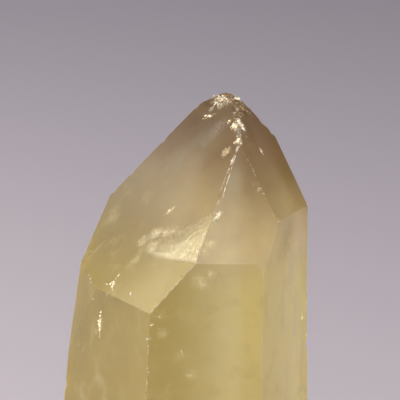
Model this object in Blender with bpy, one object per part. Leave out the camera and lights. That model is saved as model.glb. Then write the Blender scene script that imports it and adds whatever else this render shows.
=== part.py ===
# A citrine point: one natural quartz crystal, cut off flat at its foot and standing on the cut.
#
# The crystal is made the way its form is described: a blank is cut by one plane for each
# crystal face, then growth ledges, breaks and chips are taken out of the faceted solid.
# Frame: the middle of the flat foot is at the origin, +Z runs up the crystal and the front
# prism face looks along -Y. Lengths are in millimetres until MM turns them into metres.

import math
import random

import bmesh
import bpy
from mathutils import Matrix, Vector

MM = 0.001

# Driving dimensions, in millimetres and degrees.
BLANK_WIDTH = 90.0
BLANK_HEIGHT = 110.0
FOOT_BEVEL = 0.5

# A face is (azimuth, lean, reach): azimuth turns from -Y toward +X, lean is how far the face
# leans back from upright, and reach is its distance from the origin.
PRISM_FACES = {
    "prism_front": (4.1, 2.0, 18.45),
    "prism_right": (65.2, 0.7, 18.35),
    "prism_back_right": (124.9, 1.2, 16.65),
    "prism_back": (184.0, 2.6, 17.10),
    "prism_back_left": (243.0, 4.6, 20.10),
    "prism_left": (303.3, 2.2, 15.45),
}
POINT_FACES = {
    "point_front": (4.4, 37.6, 49.55),
    "point_right": (64.2, 39.2, 54.95),
    "point_back_right": (124.2, 37.9, 57.90),
    "point_back": (184.2, 38.2, 57.25),
    "point_back_left": (243.9, 39.4, 52.30),
    "point_left": (304.3, 38.1, 43.00),
}
SLIVER_FACES = {
    "sliver_left": (293.6, 8.2, 21.30),
    "sliver_right": (41.4, 18.2, 36.90),
}
FACES = {**PRISM_FACES, **POINT_FACES, **SLIVER_FACES}

# The apex is broken away across two planes, given like the faces.
APEX_BREAKS = [
    (300.0, 50.0, 55.95),
    (37.0, 63.0, 71.60),
]

# Growth ledges, lowest first on each face: below one, the prism face stands out by a step.
# Its edge is a wide V whose corner points down.
# (face, height of the corner, place of the corner to the right of the face's middle,
#  rise of the left and of the right run in degrees, depth of the step)
LEDGES = [
    ("prism_back", 13.0, 3.0, 3.0, 24.0, 0.32),
    ("prism_back", 33.5, -4.5, 38.0, 1.5, 0.26),
    ("prism_back", 55.0, 2.0, 1.0, 38.0, 0.22),
    ("prism_back_right", 19.0, -5.0, 34.0, 2.0, 0.30),
    ("prism_back_right", 44.0, 4.0, 1.5, 30.0, 0.24),
    ("prism_back_left", 28.0, -3.0, 26.0, 2.5, 0.30),
    ("prism_right", 21.0, 3.5, 1.0, 32.0, 0.22),
    ("prism_left", 9.5, -4.0, 30.0, 2.0, 0.26),
    ("prism_front", 16.5, 2.5, 2.0, 22.0, 0.24),
]
LEDGE_RISER_LEAN = 38.0

# Chips along an edge between two faces, from its meeting with a third face to a fourth.
# (face, face, starting face, ending face, places along the edge, widths, depth)
EDGE_CHIPS = [
    ("point_left", "point_right", "point_front", "point_back_right",
     (0.03, 0.16, 0.30, 0.46, 0.60, 0.74, 0.88), (1.3, 2.6), 0.34),
    ("point_left", "point_front", "prism_front", "point_right",
     (0.08, 0.42, 0.50, 0.66, 0.83, 0.95), (0.9, 2.0), 0.16),
    ("point_front", "point_right", "sliver_right", "point_left",
     (0.30, 0.58, 0.76), (0.8, 1.4), 0.14),
    ("point_left", "prism_front", "prism_left", "point_front",
     (0.04, 0.34, 0.71), (0.8, 1.5), 0.15),
    ("prism_left", "prism_front", "foot", "point_left",
     (0.09, 0.27, 0.62, 0.83, 0.93), (0.9, 2.2), 0.20),
    ("prism_front", "prism_right", "foot", "sliver_right",
     (0.12, 0.44, 0.80), (0.9, 2.0), 0.18),
    ("prism_right", "prism_back_right", "foot", "point_right",
     (0.07, 0.39, 0.66, 0.90), (1.0, 2.4), 0.22),
    ("prism_back_right", "prism_back", "foot", "point_back_right",
     (0.11, 0.37, 0.70, 0.92), (1.0, 2.6), 0.24),
    ("prism_back", "prism_back_left", "foot", "point_back_left",
     (0.14, 0.50, 0.78), (1.0, 2.6), 0.24),
    ("prism_back_left", "prism_left", "foot", "sliver_left",
     (0.10, 0.55, 0.86), (1.0, 2.2), 0.20),
    ("point_left", "point_back_left", "prism_back_left", "point_back",
     (0.05, 0.24, 0.57, 0.93), (0.9, 1.9), 0.20),
    ("point_right", "point_back_right", "prism_back_right", "point_left",
     (0.10, 0.33, 0.72, 0.92), (0.9, 1.9), 0.20),
    ("point_back", "point_back_right", "prism_back", "point_left",
     (0.15, 0.40, 0.66, 0.90), (1.0, 2.3), 0.22),
    ("point_back", "point_back_left", "prism_back", "point_left",
     (0.20, 0.55, 0.85), (1.0, 2.0), 0.20),
]

# Scoops in the two breaks: (which break, x, y, z, width, depth).
APEX_SCOOPS = [
    (0, 3.3, 9.6, 79.8, 1.7, 0.22),
    (0, 4.6, 8.6, 80.3, 1.4, 0.20),
    (0, 4.1, 7.2, 79.2, 1.6, 0.20),
    (0, 5.6, 6.2, 79.8, 1.5, 0.18),
    (0, 5.9, 8.1, 80.9, 1.3, 0.22),
    (1, 7.3, 6.4, 80.5, 1.4, 0.24),
    (1, 8.2, 5.2, 79.7, 1.8, 0.30),
    (1, 7.6, 3.4, 79.0, 1.6, 0.26),
    (1, 9.0, 3.8, 78.9, 1.3, 0.22),
]

# Bruises on the faces, away from the edges:
# (face, to the right of the face's middle, height, width, depth)
FACE_BRUISES = [
    ("point_left", 2.0, 71.0, 1.1, 0.08),
    ("point_left", -6.5, 66.5, 0.9, 0.07),
    ("point_right", -1.0, 73.0, 1.0, 0.08),
    ("point_front", 1.5, 66.5, 0.8, 0.06),
    ("prism_left", -3.5, 46.0, 1.2, 0.09),
    ("prism_front", 4.5, 29.0, 1.3, 0.10),
    ("prism_right", -2.5, 41.0, 1.2, 0.09),
    ("prism_back_right", 3.0, 60.0, 1.5, 0.12),
    ("prism_back", -5.0, 65.0, 1.6, 0.12),
    ("prism_back_left", 2.5, 44.0, 1.5, 0.12),
    ("point_back", 1.0, 73.5, 1.3, 0.10),
]

# Chips round the edge of the foot: (number of chips, smallest width, largest width, depth).
FOOT_CHIPS = (13, 1.6, 3.6, 0.45)

FOOT_CHIP_UNEVENNESS = 0.3
FOOT_CHIP_DROP = (4.0, 9.0)

# How much the chips and scoops differ: lean toward one face of the edge, share of the depth
# in the list, stretch of the scoop along one side, and swing of an apex scoop in degrees.
CHIP_LEAN = (0.1, 0.7)
CHIP_DEPTH_SHARE = (0.8, 1.4)
SCOOP_STRETCH = (0.75, 1.3)
APEX_SCOOP_SWING = 12.0

SCOOP_SUBDIVISIONS = 3
CUT_TOLERANCE = 1e-6
SEED = 41

# Citrine: pale honey yellow, glassy and clear.
CITRINE_COLOR = (0.62, 0.47, 0.17, 1.0)
CITRINE_ROUGHNESS = 0.12
CITRINE_IOR = 1.544


def clear_scene():
    for old in list(bpy.data.objects):
        bpy.data.objects.remove(old, do_unlink=True)


def face_normal(azimuth, lean):
    turn = math.radians(azimuth)
    tilt = math.radians(lean)
    return Vector((math.sin(turn) * math.cos(tilt), -math.cos(turn) * math.cos(tilt), math.sin(tilt)))


def face_plane(name):
    """The outward normal of a named face and its distance from the origin, in millimetres."""
    if name == "foot":
        return Vector((0.0, 0.0, -1.0)), 0.0
    azimuth, lean, reach = FACES[name]
    return face_normal(azimuth, lean), reach


def corner(first, second, third):
    """The point where three named faces meet, in millimetres."""
    planes = [face_plane(name) for name in (first, second, third)]
    rows = Matrix([normal for normal, _ in planes])
    return rows.inverted() @ Vector([reach for _, reach in planes])


def cut(bm, normal, reach):
    """Cuts away what lies beyond a plane and closes the cut with a flat face."""
    geometry = bm.verts[:] + bm.edges[:] + bm.faces[:]
    result = bmesh.ops.bisect_plane(
        bm, geom=geometry, dist=CUT_TOLERANCE, plane_co=normal * reach * MM, plane_no=normal,
        clear_outer=True)
    rim = [item for item in result["geom_cut"] if isinstance(item, bmesh.types.BMEdge)]
    bmesh.ops.holes_fill(bm, edges=rim, sides=0)


def blank():
    bm = bmesh.new()
    size = Matrix.Diagonal((BLANK_WIDTH * MM, BLANK_WIDTH * MM, BLANK_HEIGHT * MM, 1.0))
    lift = Matrix.Translation((0.0, 0.0, BLANK_HEIGHT * MM / 2))
    bmesh.ops.create_cube(bm, size=1.0, matrix=lift @ size)
    return bm


def add_object(name, bm):
    bm.normal_update()
    mesh = bpy.data.meshes.new(name)
    bm.to_mesh(mesh)
    bm.free()
    made = bpy.data.objects.new(name, mesh)
    bpy.context.scene.collection.objects.link(made)
    return made


def ledge_depth(face):
    """How far the lowest part of a face stands out beyond its reach."""
    return sum(ledge[-1] for ledge in LEDGES if ledge[0] == face)


def faceted_crystal():
    """The whole crystal before it was worn: every face flat and every edge sharp."""
    bm = blank()
    for name, (azimuth, lean, reach) in FACES.items():
        cut(bm, face_normal(azimuth, lean), reach + ledge_depth(name))
    for azimuth, lean, reach in APEX_BREAKS:
        cut(bm, face_normal(azimuth, lean), reach)
    rim = [edge for edge in bm.edges if all(vert.co.z < CUT_TOLERANCE for vert in edge.verts)]
    bmesh.ops.bevel(bm, geom=rim, offset=FOOT_BEVEL * MM, segments=1, profile=0.5, affect="EDGES")
    return add_object("crystal_point", bm)


def across(normal):
    """The level direction in a face, toward its right as seen from outside."""
    return Vector((0.0, 0.0, 1.0)).cross(normal).normalized()


def on_face(face, right, height):
    """A point on a face, by its distance right of the middle and its height."""
    normal, reach = face_plane(face)
    up = normal.cross(across(normal))
    middle = normal * reach
    return middle + across(normal) * right + up * (height - middle.z) / up.z


def ledge_cutter(name, reach, ledge):
    """A slab over the part of a prism face above a ledge; its lower edge is the ledge's V."""
    face, height, right, left_rise, right_rise, _ = ledge
    normal, _ = face_plane(face)
    side = across(normal)
    up = normal.cross(side)
    kink = on_face(face, right, height)
    bm = blank()
    cut(bm, -normal, -reach)
    for toward, rise in ((-side, left_rise), (side, right_rise)):
        down = toward * math.sin(math.radians(rise)) - up * math.cos(math.radians(rise))
        riser = (down + normal * math.tan(math.radians(LEDGE_RISER_LEAN))).normalized()
        cut(bm, riser, riser.dot(kink))
    return add_object(name, bm)


def ledge_cutters():
    cutters = []
    for face in PRISM_FACES:
        reach = face_plane(face)[1] + ledge_depth(face)
        for ledge in LEDGES:
            if ledge[0] == face:
                reach -= ledge[-1]
                cutters.append(ledge_cutter("ledge_cutter_%02d" % len(cutters), reach, ledge))
    return cutters


def scoop_cutter(name, place, outward, width, depth, rng):
    """A ball whose side dips into the crystal: it leaves a shallow shell-shaped scar."""
    radius = (width * width / 4 + depth * depth) / (2 * depth)
    center = place + outward * (radius - depth)
    stretch = Matrix.Diagonal((1.0, rng.uniform(*SCOOP_STRETCH), 1.0, 1.0))
    aim = outward.to_track_quat("Z", "Y").to_matrix().to_4x4()
    spin = aim @ Matrix.Rotation(rng.uniform(0.0, math.tau), 4, "Z")
    size = Matrix.Scale(radius * MM, 4)
    bm = bmesh.new()
    bmesh.ops.create_icosphere(
        bm, subdivisions=SCOOP_SUBDIVISIONS, radius=1.0,
        matrix=Matrix.Translation(center * MM) @ spin @ stretch @ size)
    return add_object(name, bm)


def edge_chips(rng):
    cutters = []
    for row, (face, other, start_face, end_face, places, widths, depth) in enumerate(EDGE_CHIPS):
        start = corner(face, other, start_face)
        end = corner(face, other, end_face)
        outward = (face_plane(face)[0] + face_plane(other)[0]).normalized()
        for number, place in enumerate(places):
            sideways = face_plane(rng.choice((face, other)))[0]
            push = (outward + sideways * rng.uniform(*CHIP_LEAN)).normalized()
            width = rng.uniform(*widths)
            deep = depth * rng.uniform(*CHIP_DEPTH_SHARE)
            spot = start.lerp(end, place)
            cutters.append(scoop_cutter("chip_%02d_%02d" % (row, number), spot, push, width, deep, rng))
    return cutters


def apex_scoops(rng):
    cutters = []
    for number, (which, x, y, z, width, depth) in enumerate(APEX_SCOOPS):
        azimuth, lean, _ = APEX_BREAKS[which]
        turned = azimuth + rng.uniform(-APEX_SCOOP_SWING, APEX_SCOOP_SWING)
        leaned = lean + rng.uniform(-APEX_SCOOP_SWING, APEX_SCOOP_SWING)
        push = face_normal(turned, leaned)
        spot = Vector((x, y, z))
        cutters.append(scoop_cutter("apex_scoop_%02d" % number, spot, push, width, depth, rng))
    return cutters


def face_bruises(rng):
    cutters = []
    for number, (face, right, height, width, depth) in enumerate(FACE_BRUISES):
        spot = on_face(face, right, height)
        push = face_plane(face)[0]
        cutters.append(scoop_cutter("bruise_%02d" % number, spot, push, width, depth, rng))
    return cutters


def foot_chips(rng):
    """Chips knocked off round the flat foot, spaced unevenly along its edge."""
    count, narrow, wide, depth = FOOT_CHIPS
    names = list(PRISM_FACES)
    corners = [corner("foot", names[i], names[i - 1]) for i in range(len(names))]
    cutters = []
    for number in range(count):
        shift = rng.uniform(-FOOT_CHIP_UNEVENNESS, FOOT_CHIP_UNEVENNESS)
        along = (number + shift) / count * len(names)
        side = math.floor(along) % len(names)
        spot = corners[side].lerp(corners[(side + 1) % len(names)], along % 1.0)
        outward = Vector((spot.x, spot.y, -rng.uniform(*FOOT_CHIP_DROP))).normalized()
        width = rng.uniform(narrow, wide)
        cutters.append(scoop_cutter("foot_chip_%02d" % number, spot, outward, width, depth, rng))
    return cutters


def take_out(crystal, cutters, group_name):
    """Takes every cutter out of the crystal with one Boolean over their collection."""
    group = bpy.data.collections.new(group_name)
    bpy.context.scene.collection.children.link(group)
    for cutter in cutters:
        bpy.context.scene.collection.objects.unlink(cutter)
        group.objects.link(cutter)
        cutter.hide_render = True
        cutter.display_type = "WIRE"
    taking = crystal.modifiers.new(group_name, "BOOLEAN")
    taking.operation = "DIFFERENCE"
    taking.solver = "EXACT"
    taking.operand_type = "COLLECTION"
    taking.collection = group


def citrine():
    material = bpy.data.materials.new("citrine")
    material.use_nodes = True
    shader = material.node_tree.nodes["Principled BSDF"]
    shader.inputs["Base Color"].default_value = CITRINE_COLOR
    shader.inputs["Roughness"].default_value = CITRINE_ROUGHNESS
    shader.inputs["Metallic"].default_value = 0.0
    shader.inputs["IOR"].default_value = CITRINE_IOR
    shader.inputs["Transmission Weight"].default_value = 1.0
    return material


def main():
    clear_scene()
    rng = random.Random(SEED)
    crystal = faceted_crystal()
    crystal.data.materials.append(citrine())
    take_out(crystal, ledge_cutters(), "growth_ledges")
    scars = edge_chips(rng) + apex_scoops(rng) + face_bruises(rng) + foot_chips(rng)
    take_out(crystal, scars, "chips")


main()
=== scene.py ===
import math
import random

import bpy
from mathutils import Matrix, Vector


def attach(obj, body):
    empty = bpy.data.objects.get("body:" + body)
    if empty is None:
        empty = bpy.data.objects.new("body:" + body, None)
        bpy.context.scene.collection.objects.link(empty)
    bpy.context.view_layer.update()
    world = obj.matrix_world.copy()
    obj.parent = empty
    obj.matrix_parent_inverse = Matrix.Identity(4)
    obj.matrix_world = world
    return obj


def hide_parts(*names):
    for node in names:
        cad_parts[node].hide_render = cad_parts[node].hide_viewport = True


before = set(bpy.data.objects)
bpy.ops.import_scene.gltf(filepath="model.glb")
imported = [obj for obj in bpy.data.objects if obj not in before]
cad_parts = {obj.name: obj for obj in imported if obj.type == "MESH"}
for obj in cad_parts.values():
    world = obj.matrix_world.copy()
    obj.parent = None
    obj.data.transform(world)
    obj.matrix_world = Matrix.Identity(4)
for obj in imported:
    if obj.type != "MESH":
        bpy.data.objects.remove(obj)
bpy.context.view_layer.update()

mm = 0.001
upward = Vector((0.0, 0.0, 1.0))


# small helpers used by every piece

def srgb(code):
    # an sRGB hex colour as linear red, green, blue, alpha
    values = [int(code[i:i + 2], 16) / 255 for i in (1, 3, 5)]
    linear = [v / 12.92 if v <= 0.04045 else ((v + 0.055) / 1.055) ** 2.4 for v in values]
    return (*linear, 1.0)


def addNode(tree, kind, settings=None, links=None):
    # one shader node: settings are properties or input values, links are input: node or output
    node = tree.nodes.new(kind)
    for key, value in (settings or {}).items():
        if isinstance(key, str) and hasattr(node, key):
            setattr(node, key, value)
        else:
            node.inputs[key].default_value = value
    for key, source in (links or {}).items():
        if isinstance(source, bpy.types.Node):
            source = next(socket for socket in source.outputs if socket.enabled)
        tree.links.new(source, node.inputs[key])
    return node


def newMaterial(name):
    material = bpy.data.materials.new(name)
    material.use_nodes = True
    material.node_tree.nodes.clear()
    return material, material.node_tree


def deselectAll():
    for item in bpy.context.selected_objects:
        item.select_set(False)


def makeActive(piece):
    deselectAll()
    piece.select_set(True)
    bpy.context.view_layer.objects.active = piece


def applyPlace(piece):
    makeActive(piece)
    bpy.ops.object.transform_apply(location=True, rotation=True, scale=True)


def applyModifiers(piece):
    makeActive(piece)
    for modifier in list(piece.modifiers):
        bpy.ops.object.modifier_apply(modifier=modifier.name)


def copyOf(tool):
    # a copy with its own mesh
    made = tool.copy()
    made.data = tool.data.copy()
    bpy.context.scene.collection.objects.link(made)
    return made


def joinAll(pieces, name):
    deselectAll()
    for piece in pieces:
        piece.select_set(True)
    bpy.context.view_layer.objects.active = pieces[0]
    bpy.ops.object.join()
    pieces[0].name = name
    pieces[0].data.name = name
    applyPlace(pieces[0])
    return pieces[0]


# the crystal: its faces, as they are measured on a real one

crystal = {
    # azimuth from the front toward the right and lean back from upright, in degrees,
    # then reach from the middle of the foot, in mm
    "prismFaces": {
        "prismFront": (4.1, 2.0, 18.45),
        "prismRight": (65.2, 0.7, 18.35),
        "prismBackRight": (124.9, 1.2, 16.65),
        "prismBack": (184.0, 2.6, 17.10),
        "prismBackLeft": (243.0, 4.6, 20.10),
        "prismLeft": (303.3, 2.2, 15.45),
    },
    "pointFaces": {
        "pointFront": (4.4, 37.6, 49.55),
        "pointRight": (64.2, 39.2, 54.95),
        "pointBackRight": (124.2, 37.9, 57.90),
        "pointBack": (184.2, 38.2, 57.25),
        "pointBackLeft": (243.9, 39.4, 52.30),
        "pointLeft": (304.3, 38.1, 43.00),
    },
    "sliverFaces": {
        "sliverLeft": (293.6, 8.2, 21.30),
        "sliverRight": (41.4, 18.2, 36.90),
    },
    # the two planes that the apex is broken away across
    "apexBreaks": {
        "breakLeft": (300.0, 50.0, 55.95),
        "breakRight": (37.0, 63.0, 71.60),
    },
    # growth ledges, lowest first: face, height of the V's corner, its place right of the
    # face's middle, rise of the left and right run in degrees, depth of the step in mm
    "ledges": [
        ("prismBack", 13.0, 3.0, 3.0, 24.0, 0.32),
        ("prismBack", 33.5, -4.5, 38.0, 1.5, 0.26),
        ("prismBack", 55.0, 2.0, 1.0, 38.0, 0.22),
        ("prismBackRight", 19.0, -5.0, 34.0, 2.0, 0.30),
        ("prismBackRight", 44.0, 4.0, 1.5, 30.0, 0.24),
        ("prismBackLeft", 28.0, -3.0, 26.0, 2.5, 0.30),
        ("prismRight", 21.0, 3.5, 1.0, 32.0, 0.22),
        ("prismLeft", 9.5, -4.0, 30.0, 2.0, 0.26),
        ("prismFront", 16.5, 2.5, 2.0, 22.0, 0.24),
    ],
    "riserLean": 38.0,
    "blankWidth": 90.0,
    "blankHeight": 110.0,
    "footBevel": 0.5,
    "edgeWear": 0.09,
    "wornAngle": 12.0,
    "shortestWornEdge": 1.5,
    "cutTolerance": 1e-6,
}
allFaces = {**crystal["prismFaces"], **crystal["pointFaces"], **crystal["sliverFaces"],
            **crystal["apexBreaks"]}


def normalOf(azimuth, lean):
    turn, tilt = math.radians(azimuth), math.radians(lean)
    return Vector((math.sin(turn) * math.cos(tilt), -math.cos(turn) * math.cos(tilt),
                   math.sin(tilt)))


def planeOf(name):
    if name == "foot":
        return -upward, 0.0
    azimuth, lean, reach = allFaces[name]
    return normalOf(azimuth, lean), reach


def meetingPoint(first, second, third):
    # where three planes meet
    rows = Matrix([plane[0] for plane in (first, second, third)])
    return rows.inverted() @ Vector([plane[1] for plane in (first, second, third)])


def cornerOf(first, second, third):
    return meetingPoint(*(planeOf(name) for name in (first, second, third)))


def acrossOf(normal):
    return upward.cross(normal).normalized()


def onFace(face, right, height):
    # a point on a face, by its distance right of the face's middle and its height, in mm
    normal, reach = planeOf(face)
    along = normal.cross(acrossOf(normal))
    middle = normal * reach
    return middle + acrossOf(normal) * right + along * (height - middle.z) / along.z


def addBlank(name):
    size = (crystal["blankWidth"] * mm, crystal["blankWidth"] * mm, crystal["blankHeight"] * mm)
    bpy.ops.mesh.primitive_cube_add(size=1.0, location=(0.0, 0.0, size[2] / 2), scale=size)
    blank = bpy.context.object
    blank.name = name
    applyPlace(blank)
    return blank


def cutAway(normal, reach):
    # in edit mode: saws off all that lies beyond a plane and closes the cut
    bpy.ops.mesh.select_all(action="SELECT")
    bpy.ops.mesh.bisect(plane_co=normal * reach * mm, plane_no=normal, use_fill=True,
                        clear_outer=True, threshold=crystal["cutTolerance"])


def ledgeDepth(face):
    return sum(ledge[-1] for ledge in crystal["ledges"] if ledge[0] == face)


def bevelEdges(piece, isWanted, width, segments):
    # selects edges in code, then bevels them in edit mode
    mesh = piece.data
    bpy.context.tool_settings.mesh_select_mode = (False, True, False)
    for part in (mesh.vertices, mesh.edges, mesh.polygons):
        part.foreach_set("select", [False] * len(part))
    for edge in mesh.edges:
        edge.select = isWanted(edge)
    makeActive(piece)
    bpy.ops.object.mode_set(mode="EDIT")
    bpy.ops.mesh.bevel(offset=width * mm, segments=segments, profile=0.5, affect="EDGES",
                       clamp_overlap=False)
    bpy.ops.object.mode_set(mode="OBJECT")


def addCrystalBlock():
    block = addBlank("crystalPoint")
    bpy.ops.object.mode_set(mode="EDIT")
    for name, (azimuth, lean, reach) in allFaces.items():
        cutAway(normalOf(azimuth, lean), reach + ledgeDepth(name))
    bpy.ops.object.mode_set(mode="OBJECT")
    corners = block.data.vertices
    floorLine = crystal["cutTolerance"]
    bevelEdges(block, lambda edge: all(corners[i].co.z < floorLine for i in edge.vertices),
               crystal["footBevel"], segments=1)
    return block


def addLedgeCutters():
    cutters = []
    for face in crystal["prismFaces"]:
        normal, trueReach = planeOf(face)
        side = acrossOf(normal)
        along = normal.cross(side)
        reach = trueReach + ledgeDepth(face)
        for name, height, right, leftRise, rightRise, depth in crystal["ledges"]:
            if name != face:
                continue
            reach -= depth
            kink = onFace(face, right, height)
            slab = addBlank("ledgeSlab")
            bpy.ops.object.mode_set(mode="EDIT")
            cutAway(-normal, -reach)
            for toward, rise in ((-side, leftRise), (side, rightRise)):
                down = toward * math.sin(math.radians(rise)) - along * math.cos(math.radians(rise))
                riser = (down + normal * math.tan(math.radians(crystal["riserLean"]))).normalized()
                cutAway(riser, riser.dot(kink))
            bpy.ops.object.mode_set(mode="OBJECT")
            cutters.append(slab)
    return cutters


def takeOut(piece, cutters, name):
    # one Boolean takes every cutter out of the piece, then the cutters are thrown away
    group = bpy.data.collections.new(name)
    bpy.context.scene.collection.children.link(group)
    for cutter in cutters:
        for home in list(cutter.users_collection):
            home.objects.unlink(cutter)
        group.objects.link(cutter)
    taking = piece.modifiers.new(name, "BOOLEAN")
    taking.operation = "DIFFERENCE"
    taking.solver = "EXACT"
    taking.operand_type = "COLLECTION"
    taking.collection = group
    applyModifiers(piece)
    for cutter in cutters:
        bpy.data.objects.remove(cutter, do_unlink=True)
    bpy.data.collections.remove(group)


def sharpEdges(piece, shortest, angle):
    # start, end and outward direction of each edge between two faces of a crystal, in mm
    mesh = piece.data
    beside = {}
    for face in mesh.polygons:
        for key in face.edge_keys:
            beside.setdefault(key, []).append(face.normal.copy())
    found = {}
    for key, normals in beside.items():
        start, end = (mesh.vertices[i].co / mm for i in key)
        if len(normals) == 2 and (end - start).length > shortest:
            if normals[0].angle(normals[1]) > math.radians(angle):
                found[key] = (start, end, (normals[0] + normals[1]).normalized())
    return found


crystalPoint = addCrystalBlock()
takeOut(crystalPoint, addLedgeCutters(), "growthLedges")
wornEdges = sharpEdges(crystalPoint, crystal["shortestWornEdge"], crystal["wornAngle"])
bevelEdges(crystalPoint, lambda edge: tuple(edge.key) in wornEdges, crystal["edgeWear"],
           segments=2)
print("crystal block cut,", len(crystalPoint.data.polygons), "faces,", len(wornEdges), "worn edges")


# wear: chips, scars and bruises from years of handling

wear = {
    "seed": 41,
    # face, face, starting face, ending face, places along the edge, widths in mm, depth in mm
    "edgeChips": [
        ("pointLeft", "pointRight", "pointFront", "pointBackRight",
         (0.03, 0.16, 0.30, 0.46, 0.60, 0.74, 0.88), (1.3, 2.6), 0.34),
        ("pointLeft", "pointFront", "prismFront", "pointRight",
         (0.08, 0.50, 0.83, 0.95), (0.6, 1.4), 0.12),
        ("pointFront", "pointRight", "sliverRight", "pointLeft",
         (0.31, 0.58, 0.76), (0.4, 0.8), 0.07),
        ("pointLeft", "prismFront", "prismLeft", "pointFront",
         (0.04, 0.34, 0.71), (0.5, 1.0), 0.10),
        ("prismLeft", "prismFront", "foot", "pointLeft",
         (0.09, 0.27, 0.41, 0.62, 0.83, 0.93), (0.5, 1.3), 0.12),
        ("prismFront", "prismRight", "foot", "sliverRight",
         (0.12, 0.44, 0.80), (0.6, 1.4), 0.12),
        ("prismRight", "prismBackRight", "foot", "pointRight",
         (0.07, 0.39, 0.66, 0.90), (1.0, 2.4), 0.22),
        ("prismBackRight", "prismBack", "foot", "pointBackRight",
         (0.11, 0.37, 0.70, 0.92), (1.0, 2.6), 0.24),
        ("prismBack", "prismBackLeft", "foot", "pointBackLeft",
         (0.14, 0.50, 0.78), (1.0, 2.6), 0.24),
        ("prismBackLeft", "prismLeft", "foot", "sliverLeft",
         (0.10, 0.55, 0.86), (1.0, 2.2), 0.20),
        ("pointLeft", "pointBackLeft", "prismBackLeft", "pointBack",
         (0.05, 0.24, 0.57, 0.93), (0.9, 1.9), 0.20),
        ("pointRight", "pointBackRight", "prismBackRight", "pointLeft",
         (0.10, 0.33, 0.72, 0.92), (0.9, 1.9), 0.20),
        ("pointBack", "pointBackRight", "prismBack", "pointLeft",
         (0.15, 0.40, 0.66, 0.90), (1.0, 2.3), 0.22),
        ("pointBack", "pointBackLeft", "prismBack", "pointLeft",
         (0.20, 0.55, 0.85), (1.0, 2.0), 0.20),
    ],
    # scoops in the two breaks: break, x, y, z, width, depth in mm
    "apexScoops": [
        ("breakLeft", 3.3, 9.6, 79.8, 1.7, 0.22),
        ("breakLeft", 4.6, 8.6, 80.3, 1.4, 0.20),
        ("breakLeft", 4.1, 7.2, 79.2, 1.6, 0.20),
        ("breakLeft", 5.6, 6.2, 79.8, 1.5, 0.18),
        ("breakLeft", 5.9, 8.1, 80.9, 1.3, 0.22),
    ],
    # face, right of the face's middle, height, width, depth in mm
    "faceBruises": [
        ("pointRight", -1.0, 73.0, 1.0, 0.08),
        ("prismLeft", -3.5, 46.0, 1.2, 0.09),
        ("prismFront", 4.5, 29.0, 1.3, 0.10),
        ("prismRight", -2.5, 41.0, 1.2, 0.09),
        ("prismBackRight", 3.0, 60.0, 1.5, 0.12),
        ("prismBack", -5.0, 65.0, 1.6, 0.12),
        ("prismBackLeft", 2.5, 44.0, 1.5, 0.12),
        ("pointBack", 1.0, 73.5, 1.3, 0.10),
    ],
    "footChips": {"count": 13, "widths": (1.6, 3.6), "depth": 0.45, "unevenness": 0.3,
                  "drop": (4.0, 9.0)},
    "chipLean": (0.1, 0.7),
    "chipDepthShare": (0.8, 1.4),
    "scoopStretch": (0.75, 1.3),
    "scoopCap": -0.4,
    "apexSwing": 12.0,
    # small angular nicks along every edge: number for each mm, radius, how far out they sit, how
    # long they are, how far they lean, and how uneven the lump is that cuts them
    "nicksPerMm": 0.36,
    "nickRadius": (0.05, 0.20),
    "nickRise": (0.35, 0.85),
    "nickStretch": (0.8, 2.4),
    "nickLean": 0.5,
    "nickUnevenness": 0.3,
    "nickSeeds": (3, 8, 15, 21),
    # crumbled places: how far the crumbs sit out, their width and lean, then face, right,
    # height, half spread to the right and up, number, radius
    "crumbRise": (0.5, 0.9),
    "crumbStretch": (0.6, 1.4),
    "crumbLean": 0.8,
    "crumbs": [
        ("breakLeft", -3.4, 80.3, 2.2, 0.7, 90, (0.16, 0.50)),
        ("breakLeft", -4.5, 80.9, 2.8, 0.3, 50, (0.14, 0.42)),
        ("breakLeft", -5.4, 79.9, 0.7, 0.5, 20, (0.12, 0.34)),
        ("breakRight", 9.0, 79.8, 1.5, 1.5, 90, (0.16, 0.55)),
        ("breakRight", 9.4, 79.2, 0.5, 0.8, 8, (0.50, 0.75)),
        ("breakRight", 10.4, 80.7, 0.9, 0.5, 18, (0.15, 0.40)),
        ("breakRight", 7.8, 78.3, 1.0, 0.9, 44, (0.15, 0.45)),
        ("pointRight", 4.1, 77.8, 0.7, 1.2, 34, (0.12, 0.38)),
        ("pointLeft", 7.0, 76.0, 0.5, 0.6, 12, (0.12, 0.30)),
        ("pointLeft", 5.8, 74.3, 0.8, 0.9, 14, (0.08, 0.20)),
        ("pointFront", 0.8, 60.2, 0.7, 0.9, 30, (0.08, 0.24)),
        ("pointFront", 4.1, 66.2, 0.4, 0.8, 16, (0.16, 0.46)),
        ("sliverRight", 4.2, 65.4, 0.8, 0.5, 12, (0.20, 0.50)),
        ("prismFront", -3.6, 54.8, 1.8, 1.3, 14, (0.08, 0.22)),
    ],
    # rows of fine teeth along an edge: how far out they sit, then face, face, starting and
    # ending face, part of the edge from and to, number of teeth, radius in mm
    "toothRise": (-0.1, 0.5),
    "teeth": [
        ("pointLeft", "prismFront", "prismLeft", "pointFront", 0.0, 1.0, 64, (0.06, 0.17)),
        ("pointLeft", "prismLeft", "prismFront", "sliverLeft", 0.0, 0.45, 26, (0.06, 0.16)),
        ("pointLeft", "pointFront", "prismFront", "pointRight", 0.0, 0.5, 36, (0.05, 0.15)),
        ("prismLeft", "prismFront", "foot", "pointLeft", 0.6, 1.0, 30, (0.06, 0.18)),
        ("pointFront", "sliverRight", "prismFront", "pointRight", 0.0, 1.0, 14, (0.05, 0.14)),
    ],
    # the worn band along the upper part of one edge, from its fine top to its wide foot
    "bandEdge": ("pointLeft", "pointFront", "prismFront", "pointRight"),
    "bandSpan": (0.96, 0.53),
    "bandDepths": (0.02, 0.17),
    # the cosine to a break's direction from which a face counts as level with it
    "levelWithBreak": 0.9999,
}


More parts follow.
